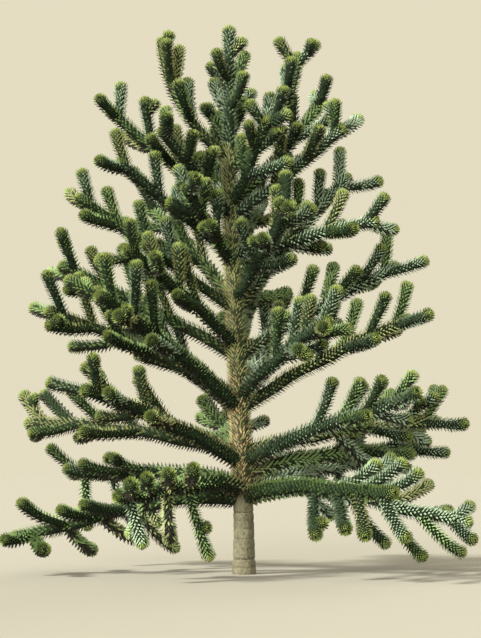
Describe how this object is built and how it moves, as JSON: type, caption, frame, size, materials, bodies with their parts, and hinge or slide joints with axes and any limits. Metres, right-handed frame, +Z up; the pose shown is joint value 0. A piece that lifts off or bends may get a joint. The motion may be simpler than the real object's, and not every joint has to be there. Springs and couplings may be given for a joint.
{
  "type": "monkey puzzle tree",
  "caption": "Young monkey puzzle tree: straight trunk with whorls of drooping and rising boughs clad in stiff scale leaves, fixed to level ground.",
  "frame": {"origin": "middle of the flat cut under the trunk, at ground level", "axes": "+Z up the trunk, +X to the right as the picture shows the tree, +Y away from the viewer"},
  "size_m": [3.8021, 3.3052, 4.5183],
  "materials": {
    "bark": "rough grey-buff bark at the foot, old tan scale leaves above",
    "bough": "clad in old olive and tan scale leaves",
    "foliage": "stiff leathery green scale leaves, paler at the tips"
  },
  "bodies": {
    "root": {"trunk": "bark", "bough_1a": "bough", "bough_1b": "bough", "bough_1c": "bough", "bough_1d": "bough", "bough_1e": "bough", "bough_1f": "bough", "bough_2a": "bough", "bough_3a": "bough", "bough_3b": "bough", "bough_3c": "bough", "bough_3d": "bough", "bough_3e": "bough", "bough_4a": "bough", "bough_4b": "bough", "bough_4c": "bough", "bough_4d": "bough", "bough_4e": "bough", "bough_4f": "bough", "foliage_1a": "foliage", "foliage_1b": "foliage", "foliage_1c": "foliage", "foliage_1d": "foliage", "foliage_1e": "foliage", "foliage_1f": "foliage", "foliage_2a": "foliage", "foliage_3a": "foliage", "foliage_3b": "foliage", "foliage_3c": "foliage", "foliage_3d": "foliage", "foliage_3e": "foliage", "foliage_4a": "foliage", "foliage_4b": "foliage", "foliage_4c": "foliage", "foliage_4d": "foliage", "foliage_4e": "foliage", "foliage_4f": "foliage", "foliage_5a": "foliage", "foliage_5b": "foliage", "foliage_5c": "foliage", "foliage_5d": "foliage", "foliage_6a": "foliage", "foliage_6b": "foliage", "foliage_6c": "foliage", "foliage_6d": "foliage", "foliage_7a": "foliage", "foliage_7b": "foliage", "foliage_7c": "foliage", "foliage_7d": "foliage", "foliage_8a": "foliage", "foliage_8b": "foliage", "foliage_8c": "foliage", "foliage_8d": "foliage", "foliage_8e": "foliage", "foliage_8f": "foliage", "foliage_9a": "foliage", "foliage_9b": "foliage", "foliage_9c": "foliage", "foliage_leader": "foliage"}
  },
  "joints": []
}
